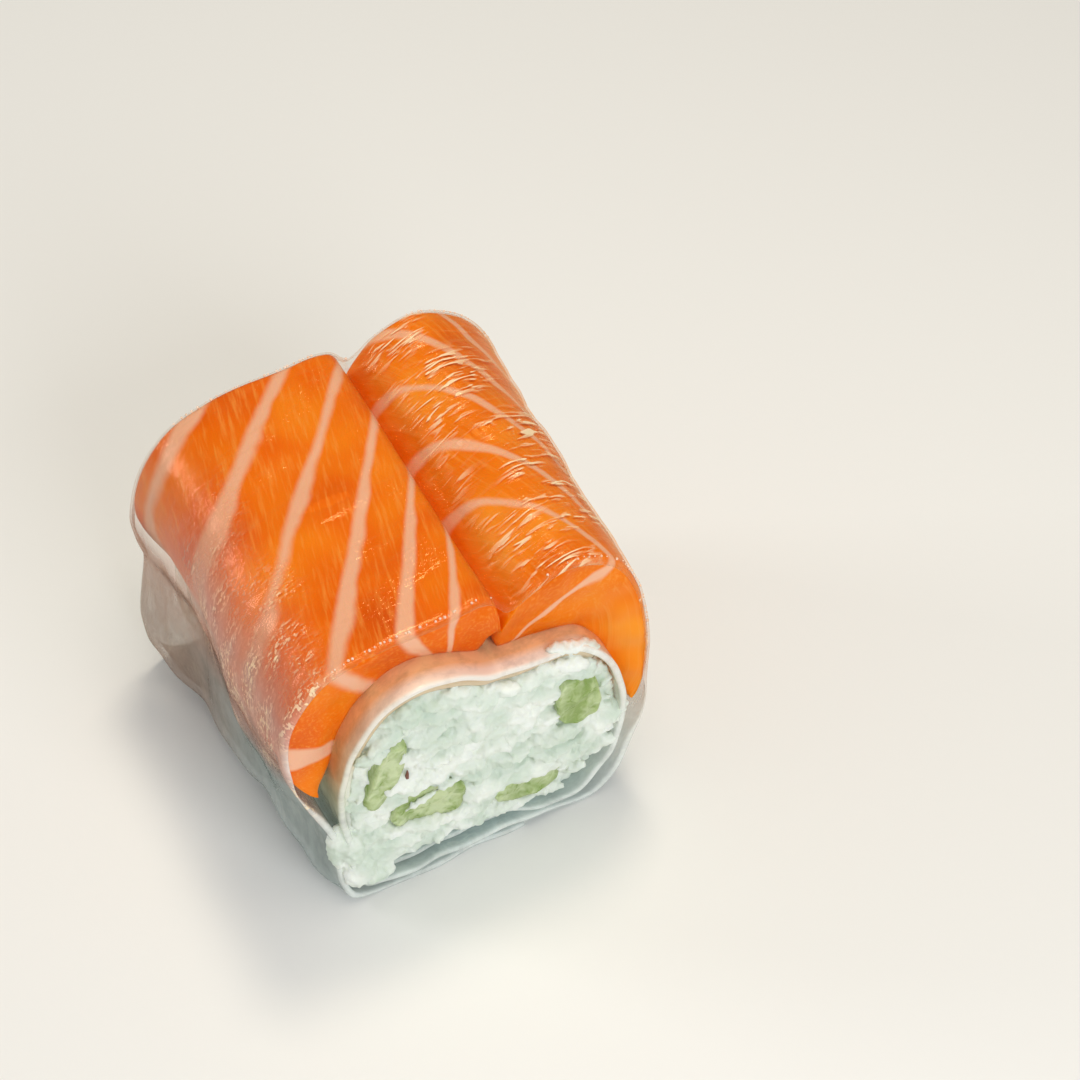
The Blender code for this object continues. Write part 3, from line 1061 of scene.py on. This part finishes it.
@dataclass
class SalmonSlice:
    """A slice of raw salmon between two angles, tapering to its lower edge."""

    shape: RollShape
    paper: RicePaperSheet
    side: Side
    crease: float = math.radians(192.6)
    apart: float = math.radians(0.4)
    lower_left: float = math.radians(101.0)
    lower_right: float = math.radians(276.0)
    blunt: float = math.radians(7.0)  # stretch over which the edge at the crease is rounded
    taper: float = math.radians(16.0)  # and the lower edge
    edge_wave: float = math.radians(5.0)
    thin_edge: float = 0.1  # share of the thickness left at an edge
    clearance: float = 0.03
    sunk: float = 0.2  # into the paper under it, so that no gap shows
    recess: float = 1.5  # how far the cut face leans back at the paper
    corner: float = 0.6
    columns: int = 110
    rows: int = 60
    depth_rows: int = 12

    def ends(self, y: float) -> tuple[float, float]:
        """The angles at which the slice starts and ends, at this place along the roll."""
        wander = self.edge_wave * math.sin(0.8 * TURN * y / self.shape.length + 0.4)
        if self.side is Side.LEFT:
            return self.lower_left + wander, self.crease - self.apart
        return self.crease + self.apart, self.lower_right - wander

    def loop(self) -> tuple[Array, Array]:
        """Draws a rounded rectangle that is swept round the roll.

        Returns:
            Places along the roll, and shares of the half thickness from -1 to 1.
        """
        half = self.shape.half
        along = np.linspace(-half + self.corner, half - self.corner, self.rows)
        bend = np.linspace(0.0, math.pi / 2.0, 6)[1:]
        turn_y = half - self.corner + self.corner * np.sin(bend)
        turn_t = 1.0 - 0.16 * (1.0 - np.cos(bend))
        down = np.linspace(turn_t[-1], -1.0, self.depth_rows)[1:]
        inside = np.linspace(half - 2.0, 2.0 - half, self.rows // 2)
        y = [along, turn_y, np.full_like(down, half), inside]
        t = [np.ones_like(along), turn_t, down, -np.ones_like(inside)]
        y += [np.full_like(down, -half), -turn_y[::-1]]
        return np.concatenate(y), np.concatenate([*t, down[::-1], turn_t[::-1]])

    def marble(self, angle: Array, y: Array, depth: Array) -> Array:
        """Places the flesh's pattern.

        Args:
            angle: direction from the heart line.
            y: place along the roll.
            depth: distance under the slice's outside.

        Returns:
            Line number, distance across and depth of each place. A line of fat lies at
            each whole line number.
        """
        arc, deep = self.shape.arc(angle, self.crease), 0.25 * y + 2.4 * depth
        if self.side is Side.LEFT:
            far = np.maximum(-arc, 0.0)
            first, gap, reach, soft = 18.8, 7.6, 21.5, 1.5
            run = 0.15 * far - 0.85 * soft * np.logaddexp(-far / soft, -reach / soft)
            number = (first - y) / gap
            # the lines steepen towards the front; Newton's steps find each place's number
            for _ in range(8):
                slope = 1.34 * np.exp(0.2 * number)
                miss = first - gap * number - slope * run - y
                number = number + miss / (gap + 0.2 * slope * run)
            tip = np.exp(-(((far - 31.0) / 2.2) ** 2)) * smooth(12.0, 17.0, -y)
            number = number + 0.5 * tip
            number = 2.5 + (number - 2.5) * (1.0 + 0.16 * depth * smooth(14.0, 8.0, far))
            return np.stack([np.minimum(number, 3.5), 0.98 * far + 0.195 * y, deep], axis=-1)
        far = np.maximum(arc, 0.0)
        first, gap, reach, soft = 19.6, 8.4, 15.5, 1.2
        far = -soft * np.logaddexp(-far / soft, -reach / soft)
        number = (first - y - 0.35 * far - 0.055 * far**2) / gap
        number = number - 0.11 * depth * smooth(14.0, 11.0, far)
        return np.stack([np.minimum(number, 3.5), far + 0.4 * y, deep], axis=-1)

    def ring(self, y: float, t: float, share: Array) -> tuple[Array, Array]:
        """Lays the points that one point of the loop sweeps out.

        Args:
            y, t: the point of the loop.
            share: how far along the sweep each point is, from 0 to 1.

        Returns:
            The points in metres, and the flesh's pattern there.
        """
        shape, (first, last) = self.shape, self.ends(y)
        width, back = last - first, shape.share_back(y)
        angle = first + width * share
        along = np.full_like(angle, y)
        skin = shape.radius(SKIN.at(back), angle) + self.paper.waviness(angle, along)
        far = skin - self.paper.thickness(angle) - self.clearance
        near = shape.radius(moved_in(CORE.at(back), self.sunk), angle)
        left = self.side is Side.LEFT
        round_first, round_last = (self.taper, self.blunt) if left else (self.blunt, self.taper)
        start = np.minimum(1.0, share * width / round_first)
        stop = np.minimum(1.0, (1.0 - share) * width / round_last)
        full = np.sqrt(1.0 - (1.0 - start) ** 2) * np.sqrt(1.0 - (1.0 - stop) ** 2)
        half = (far - near) / 2.0 * np.maximum(full, self.thin_edge)
        x, z = shape.ray(angle, (far + near) / 2.0 + half * t)
        if abs(y) > shape.half - 0.01:
            relief = 0.12 * ripple(x, z, 4.0, 31) * (abs(t) < 0.95)
            along = y + np.sign(y) * (relief - self.recess * ((1.0 - t) / 2.0) ** 2)
        return shape.place(x, along, z), self.marble(angle, np.full_like(angle, y), half * (1.0 - t))

    def build(self) -> bpy.types.Object:
        """Makes the slice as one closed solid.

        Returns:
            The slice, with `marble` stored on its points.
        """
        share = 0.5 - 0.5 * np.cos(np.linspace(0.0, math.pi, self.columns))
        rings = [self.ring(float(y), float(t), share) for y, t in zip(*self.loop())]
        piece = tube(f"salmon_slice_{self.side.value}", np.stack([ring[0] for ring in rings], axis=1))
        keep(piece, "marble", np.stack([ring[1] for ring in rings], axis=1), 3)
        flesh = SalmonFlesh()
        if self.side is Side.RIGHT:
            flesh = SalmonFlesh(0.125, deep="#e46404", flesh="#f37c08", bright="#fa9626", fat="#f3b792")
        piece.data.materials.append(flesh.material(f"raw_salmon_{self.side.value}"))
        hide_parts(f"salmon_{self.side.value}")
        return piece


# ---------------------------------------------------------------- the filling


@dataclass(frozen=True)
class Stick:
    """Where a cucumber stick runs and how it is cut."""

    node: str
    x: float
    z: float
    width: float
    height: float
    turn: float  # degrees
    reach: float  # past the salmon
    squareness: float = 3.2  # 2 is an ellipse, more is squarer

    def outline(self, points: int = 40) -> Array:
        """The points of the rounded section."""
        angle = np.linspace(0.0, TURN, points, endpoint=False)
        power = 2.0 / self.squareness
        across = np.sign(np.cos(angle)) * np.abs(np.cos(angle)) ** power * self.width / 2.0
        up = np.sign(np.sin(angle)) * np.abs(np.sin(angle)) ** power * self.height / 2.0
        c, s = math.cos(math.radians(self.turn)), math.sin(math.radians(self.turn))
        return np.stack([self.x + across * c - up * s, self.z + across * s + up * c], axis=-1)

    def holds(self, x: float, z: float, grow: float) -> bool:
        """Whether the point lies in the section, larger all round by grow."""
        c, s = math.cos(math.radians(self.turn)), math.sin(math.radians(self.turn))
        across, up = (x - self.x) * c + (z - self.z) * s, (z - self.z) * c - (x - self.x) * s
        across, up = across / (self.width / 2.0 + grow), up / (self.height / 2.0 + grow)
        return abs(across) ** self.squareness + abs(up) ** self.squareness < 1.0


STICKS = (
    Stick("cucumber_upper_right", 11.7, 17.9, 4.8, 7.0, 8.0, 1.35),
    Stick("cucumber_lower_left", -4.6, 10.6, 8.2, 5.2, -16.0, 0.6),
    Stick("cucumber_lower_right", 6.6, 6.4, 7.4, 3.8, -6.0, 0.25),
    Stick("cucumber_left", -9.2, 18.6, 2.9, 9.4, -20.0, 1.55),
)


@dataclass
class CucumberStick:
    """A stick of cucumber that runs through the filling."""

    shape: RollShape
    stick: Stick
    corner: float = 0.5
    face_shares: Row = (0.1, 0.28, 0.5, 0.7, 0.86)  # sizes of the rings on a cut face

    def build(self) -> bpy.types.Object:
        """Makes the stick as one closed solid with uneven cut ends.

        Returns:
            The stick.
        """
        shape, stick = self.shape, self.stick
        reach, section = shape.half + stick.reach, stick.outline()
        middle = np.array([stick.x, stick.z])
        face = [(0.0, share) for share in (*self.face_shares, 1.0 - 0.5 * self.corner / stick.width)]
        face.append((self.corner, 1.0))
        body = [(y, 1.0) for y in np.linspace(3.0, 2.0 * reach - 3.0, 12)]
        rings = []
        for at, share in face + body + [(2.0 * reach - at, share) for at, share in face[::-1]]:
            x, z = (middle + (section - middle) * share).T
            if share < 1.0:
                at = at + (0.16 * ripple(x, z, 2.6, 41) + 0.25 * ripple(x, z, 8.0, 42))
            else:
                x = x + 0.12 * ripple(np.full_like(x, at), z, 6.0, 43)
            rings.append(shape.place(x, at - reach, z))
        piece = tube(stick.node.replace("cucumber", "cucumber_stick"), np.stack(rings))
        material = bpy.data.materials.get("cut_cucumber") or CucumberFlesh().material("cut_cucumber")
        piece.data.materials.append(material)
        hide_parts(stick.node)
        return piece


@dataclass(frozen=True)
class Smear:
    """A larger dab of cheese on the cut: its place, how far it stands out and its size."""

    x: float
    z: float
    out: float  # past the filling's cut end
    size: Row  # half sizes across, along the roll and up
    turn: float = 0.0  # degrees, in the plane of the cut


SMEARS = (
    Smear(-9.6, 4.6, -0.4, (3.4, 1.2, 1.9), -10.0),
    Smear(-4.0, 3.9, -0.5, (3.0, 1.0, 1.2), -4.0),
    Smear(2.5, 3.6, -0.6, (3.4, 1.0, 1.1), -4.0),
    Smear(8.5, 3.7, -0.7, (2.6, 0.9, 0.9), 6.0),
    Smear(-11.9, 8.4, -0.5, (1.1, 1.0, 3.0), 8.0),
    Smear(-13.9, 8.8, -0.2, (1.5, 1.0, 3.6), 3.0),
    Smear(-13.0, 4.8, -0.2, (1.5, 1.0, 1.8), 0.0),
    Smear(-12.2, 12.6, -0.3, (0.7, 0.8, 1.6), 0.0),
    Smear(-9.6, 23.6, 0.3, (0.5, 0.5, 0.7), -24.0),
    Smear(-7.6, 19.6, 0.5, (0.3, 0.4, 1.9), -12.0),
    Smear(-5.6, 12.3, 0.75, (2.0, 0.35, 0.3), 16.0),
    Smear(-2.4, 13.2, 0.7, (1.6, 0.35, 0.32), 10.0),
    Smear(-12.3, 4.6, 0.8, (1.9, 1.0, 2.3), 0.0),
    Smear(-12.8, 8.4, 0.6, (1.3, 1.0, 2.4), 4.0),
    Smear(-10.6, 2.9, 0.8, (2.2, 0.9, 1.0), -6.0),
    Smear(10.6, 24.4, 0.5, (2.4, 0.8, 0.8), -24.0),
    Smear(10.4, 26.4, -0.3, (2.5, 0.8, 0.7), -20.0),
    Smear(13.0, 25.0, -0.4, (1.5, 0.8, 0.6), -48.0),
    Smear(8.6, 8.4, 0.2, (2.4, 0.8, 1.2), 2.0),
    Smear(-5.0, 7.7, 0.4, (3.6, 0.8, 0.9), -16.0),
    Smear(12.8, 22.9, 0.3, (1.2, 0.6, 0.7), -50.0),
    Smear(10.0, 13.1, 0.4, (2.3, 0.8, 1.3), -14.0),
    Smear(12.7, 9.8, -0.2, (0.8, 0.7, 0.9), 0.0),
    Smear(14.4, 14.5, -0.4, (0.9, 0.8, 2.6), 6.0),
    Smear(0.8, 9.3, 0.4, (1.9, 0.8, 1.5), 12.0),
    Smear(6.6, 8.6, 0.3, (3.9, 0.8, 1.1), -6.0),
    Smear(-7.6, 8.0, 0.1, (2.6, 0.7, 0.8), -16.0),
)


@dataclass
class CheeseFilling:
    """Soft cheese in small flakes, packed round the sticks and smeared at the cuts."""

    shape: RollShape
    paper: RicePaperSheet
    lean: float = 2.4  # of the cut end, over the roll's height
    reach: float = 0.9
    gap: float = 0.1  # to the paper
    flakes: int = 620
    flake_size: tuple[float, float] = (0.4, 1.5)
    slab: float = 4.0  # depth of the flaky end
    behind: float = 0.75  # how far the slab's face lies behind the cut end
    voxel: float = 0.23
    relief: float = 0.07
    seed: int = 7

    def edge(self, back: float, angle: Array) -> Array:
        """Finds the filling's outside, inside the last turn of the paper.

        Args:
            back: place along the roll, from 0 at the front to 1.
            angle: directions from the heart line.

        Returns:
            The distance in each direction.
        """
        doubled = self.paper.radius(back, angle + 2.0 * TURN)
        single = self.paper.radius(back, angle + TURN)
        end = self.paper.inner_end % TURN
        past = smooth(end + 0.06, end + 0.3, angle)
        return doubled * (1.0 - past) + single * past - self.paper.slack / 2.0 - self.gap

    def half_length(self, z: Array) -> Array:
        """How far the cut end is from the roll's middle, at this height."""
        middle = self.shape.heart[1]
        return self.shape.half + self.reach + self.lean * (z - middle) / (2.0 * middle)

    def plug(self, name: str, near: float, far: float, end: float, rings: int) -> bpy.types.Object:
        """Makes the filling between two distances from one cut end.

        Args:
            name: the object's name.
            near, far: distances from the cut end.
            end: -1 for the front end, 1 for the back.
            rings: how many loops of points there are.

        Returns:
            The closed body.
        """
        angle = np.linspace(0.0, TURN, 120, endpoint=False)
        loops = []
        for depth in np.linspace(near, far, rings):
            back = self.shape.share_back(end * (self.shape.half - depth))
            x, z = self.shape.ray(angle, self.edge(back, angle))
            loops.append(self.shape.place(x, end * (self.half_length(z) - depth), z))
        return tube(name, np.stack(loops))

    def dab(self, shape: bmesh.types.BMesh, place: Vector, turns: Row, size: Row) -> None:
        """Adds one ellipsoid of cheese, whose half sizes are in millimetres."""
        matrix = Matrix.Translation(place) @ Euler(turns).to_matrix().to_4x4()
        matrix = matrix @ Matrix.Diagonal((*(value * MM for value in size), 1.0))
        bmesh.ops.create_icosphere(shape, subdivisions=2, radius=1.0, matrix=matrix)

    def scatter(self, shape: bmesh.types.BMesh, end: float) -> None:
        """Adds the flakes of one cut end, clear of the sticks.

        Args:
            shape: what they are added to.
            end: -1 for the front end, 1 for the back.
        """
        rng = np.random.default_rng(self.seed + int(end))
        around = np.linspace(0.0, TURN, 181)
        edges = self.edge(0.5 + 0.5 * end, around)
        placed = 0
        while placed < self.flakes:
            angle, share = rng.uniform(0.0, TURN), math.sqrt(rng.uniform(0.0, 1.0))
            size = rng.uniform(*self.flake_size) ** 1.3
            edge = float(np.interp(angle, around, edges))
            x, z = self.shape.ray(angle, share * (edge - 0.5 * size))
            depth = rng.uniform(0.1, 0.9)
            turns = rng.normal(0.0, 0.35, 3)
            stretch = rng.uniform((0.9, 0.45, 0.4), (1.9, 0.8, 0.75))
            if any(stick.holds(x, z, 0.25 * size) for stick in STICKS):
                continue
            place = Vector(self.shape.place(x, end * (self.half_length(z) - depth), z))
            self.dab(shape, place, tuple(turns), tuple(stretch * size))
            placed += 1

    def end_of(self, end: float) -> bpy.types.Mesh:
        """Makes a flaky cut end, melted into one closed body.

        Args:
            end: -1 for the front end, 1 for the back.

        Returns:
            The mesh.
        """
        body = self.plug("cheese_end", self.behind, self.slab, end, 3)
        shape = bmesh.new()
        shape.from_mesh(body.data)
        self.scatter(shape, end)
        for smear in SMEARS:
            y = end * (self.half_length(smear.z) + smear.out - 0.3)
            place = Vector(self.shape.place(smear.x, y, smear.z))
            self.dab(shape, place, (0.0, -math.radians(smear.turn), 0.0), smear.size)
        shape.to_mesh(body.data)
        shape.free()
        melt = body.modifiers.new("melt", "REMESH")
        melt.mode = "VOXEL"
        melt.voxel_size = self.voxel * MM
        bpy.context.view_layer.update()
        evaluated = body.evaluated_get(bpy.context.evaluated_depsgraph_get())
        mesh = bpy.data.meshes.new_from_object(evaluated)
        bpy.data.objects.remove(body)
        self.roughen(mesh)
        return mesh

    def roughen(self, mesh: bpy.types.Mesh) -> None:
        """Moves the points along their normals by a fine uneven relief, most at the cut."""
        co, normal = np.zeros((2, len(mesh.vertices) * 3), np.float32)
        mesh.vertices.foreach_get("co", co)
        mesh.vertices.foreach_get("normal", normal)
        co, normal = co.reshape(-1, 3).astype(float), normal.reshape(-1, 3)
        x, y, z = co.T / MM
        fine = ripple(x + 0.7 * y, z - 0.6 * y, 1.1, 51, 20) + ripple(x - y, z + y, 0.8, 52, 20)
        at_end = smooth(self.shape.half - 2.5, self.shape.half, np.abs(y))
        co += normal * (self.relief * fine * (0.2 + 0.8 * at_end))[:, None] * MM
        mesh.vertices.foreach_set("co", co.astype(np.float32).reshape(-1))
        mesh.update()

    def build(self) -> bpy.types.Object:
        """Makes the two cut ends and the plain body between them.

        Returns:
            The filling as one object.
        """
        far = self.shape.length - 5.0
        body = self.plug("soft_cheese_curds", self.slab - 1.5, far, -1.0, 9)
        whole = bmesh.new()
        whole.from_mesh(body.data)
        for end in (-1.0, 1.0):
            whole.from_mesh(self.end_of(end))
        whole.to_mesh(body.data)
        whole.free()
        body.data.shade_smooth()
        body.data.materials.append(CheeseCurd().material("fresh_soft_cheese"))
        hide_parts("soft_cheese")
        return body


@dataclass
class MoistureBeads:
    """Tiny beads of water that hang along the film over the salmon's cut edges."""

    shape: RollShape
    paper: RicePaperSheet
    spacing: float = 0.42
    size: tuple[float, float] = (0.07, 0.16)
    inwards: tuple[float, float] = (0.3, 0.42)  # from the film's rim
    rim: float = 0.12  # how far the film's rim stands out past the salmon there
    seed: int = 12

    def build(self) -> bpy.types.Object:
        """Makes all the beads as one mesh.

        Returns:
            The beads.
        """
        rng = np.random.default_rng(self.seed)
        shape = bmesh.new()
        for end in (-1.0, 1.0):
            for degrees in np.arange(140.0, 250.0, math.degrees(self.spacing / 18.0)):
                wound = np.array([math.radians(degrees + rng.normal(0.0, 0.3))])
                if rng.uniform() < 0.25 + 0.5 * bump_between(188.0, 205.0, 4.0, degrees):
                    continue
                inwards = rng.uniform(*self.inwards)
                y = end * (self.shape.half + self.rim - inwards)
                radius = self.paper.radius(0.5 + 0.5 * end, wound)
                radius = radius + self.paper.waviness(wound, np.array([y]))
                radius = radius - self.paper.drop(inwards, np.array([degrees]))
                x, z = self.shape.ray(wound, radius + self.paper.thickness(wound) / 2.0)
                place = Vector(self.shape.place(x, y, z)[0])
                matrix = Matrix.Translation(place) @ Matrix.Scale(rng.uniform(*self.size) * MM, 4)
                bmesh.ops.create_icosphere(shape, subdivisions=2, radius=1.0, matrix=matrix)
        beads = object_of("moisture_beads", shape)
        beads.data.materials.append(WaterBead().material("water_beads"))
        return beads


@dataclass
class BrownFleck:
    """The small dark red fleck on the cheese."""

    shape: RollShape
    x: float = -7.1
    z: float = 17.7
    reach: float = 1.5  # past the salmon
    size: Row = (0.18, 0.2, 0.8)
    lean: float = math.radians(6.0)

    def build(self) -> bpy.types.Object:
        """Makes the fleck as an uneven grain.

        Returns:
            The fleck.
        """
        shape = bmesh.new()
        bmesh.ops.create_icosphere(shape, subdivisions=3, radius=1.0)
        for point in shape.verts:
            point.co *= 1.0 + 0.12 * math.sin(5.0 * point.co.x + 3.0 * point.co.z)
        fleck = object_of("brown_fleck", shape)
        fleck.location = Vector(self.shape.place(self.x, -self.shape.half - self.reach, self.z))
        fleck.rotation_euler = (0.0, self.lean, 0.0)
        fleck.scale = [value * MM for value in self.size]
        fleck.data.materials.append(Matt("#7a4636", 0.4).material("dark_red_fleck"))
        return fleck


# ---------------------------------------------------------------- floor, lights and camera


@dataclass(frozen=True)
class Lamp:
    """A soft square light that faces the roll."""

    name: str
    place: Row
    size: float
    watts: float
    colour: str
    aim: Row = (0.0, 0.0, 18.0)

    def build(self) -> None:
        """Adds the lamp to the scene."""
        data = bpy.data.lights.new(self.name, "AREA")
        data.shape = "SQUARE"
        data.size = self.size * MM
        data.energy = self.watts
        data.color = linear(self.colour)[:3]
        lamp = bpy.data.objects.new(self.name, data)
        bpy.context.scene.collection.objects.link(lamp)
        lamp.location = Vector(self.place) * MM
        away = Vector(self.place) - Vector(self.aim)
        lamp.rotation_euler = away.to_track_quat("Z", "Y").to_euler()


@dataclass
class Studio:
    """A pale floor, soft lights and the camera."""

    azimuth: float = -28.5
    elevation: float = 48.0
    lens: float = 100.0
    distance: float = 298.0
    aim: Row = (-1.94, 0.0, 20.2)
    beside: float = 15.9  # how far the aim moves to the camera's right
    above: float = 5.2  # and up
    floor_size: float = 4000.0
    sky: str = "#eef1f4"
    sky_strength: float = 0.3
    lamps: tuple[Lamp, ...] = (
        Lamp("overhead", (10.0, -70.0, 430.0), 190.0, 0.45, "#fff6e8"),
        Lamp("spark", (80.0, 90.0, 415.0), 95.0, 0.6, "#fff2dc"),
        Lamp("window", (-270.0, 215.0, 150.0), 110.0, 0.3, "#ffffff"),
        Lamp("front", (20.0, -340.0, 210.0), 220.0, 0.8, "#f8fbff"),
    )

    def camera(self) -> None:
        """Makes the camera and sets it as the scene's."""
        azimuth, elevation = math.radians(self.azimuth), math.radians(self.elevation)
        flat = math.cos(elevation)
        back = Vector((math.sin(azimuth) * flat, -math.cos(azimuth) * flat, math.sin(elevation)))
        right = Vector((math.cos(azimuth), math.sin(azimuth), 0.0))
        target = Vector(self.aim) + right * self.beside + back.cross(right) * self.above
        data = bpy.data.cameras.new("camera")
        data.lens = self.lens
        data.sensor_width = 36.0
        data.clip_start = 0.01
        camera = bpy.data.objects.new("camera", data)
        bpy.context.scene.collection.objects.link(camera)
        camera.location = (target + back * self.distance) * MM
        camera.rotation_euler = back.to_track_quat("Z", "Y").to_euler()
        bpy.context.scene.camera = camera

    def build(self) -> None:
        """Makes the floor, the lights, the surroundings and the camera."""
        self.camera()
        low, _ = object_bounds()
        bpy.ops.mesh.primitive_plane_add(size=self.floor_size * MM, location=(0.0, 0.0, low[2]))
        floor = bpy.context.object
        floor.name = "floor"
        floor.data.materials.append(Matt("#e9e9e6").material("pale_floor"))
        floor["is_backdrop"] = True
        for lamp in self.lamps:
            lamp.build()
        world = bpy.data.worlds.new("surroundings")
        world.use_nodes = True
        background = world.node_tree.nodes["Background"].inputs
        background["Color"].default_value = linear(self.sky)
        background["Strength"].default_value = self.sky_strength
        bpy.context.scene.world = world
        bpy.context.scene.view_settings.view_transform = "Standard"


def corners(box: tuple[Vector, Vector]) -> list[list[float]]:
    """A box as plain lists of numbers."""
    return [[float(value) for value in corner] for corner in box]


def main() -> None:
    """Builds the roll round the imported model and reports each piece."""
    logging.basicConfig(level=logging.INFO, format="%(name)s: %(message)s")
    shape = RollShape()
    paper = RicePaperSheet(shape)
    makers = [paper, SalmonSlice(shape, paper, Side.LEFT), SalmonSlice(shape, paper, Side.RIGHT)]
    makers.append(CheeseFilling(shape, paper))
    makers += [CucumberStick(shape, stick) for stick in STICKS]
    makers += [MoistureBeads(shape, paper), BrownFleck(shape)]
    for maker in makers:
        piece = maker.build()
        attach(piece, "root")
        LOG.info("%s: %d faces", piece.name, len(piece.data.polygons))
    Studio().build()


if __name__ == "__main__":
    main()
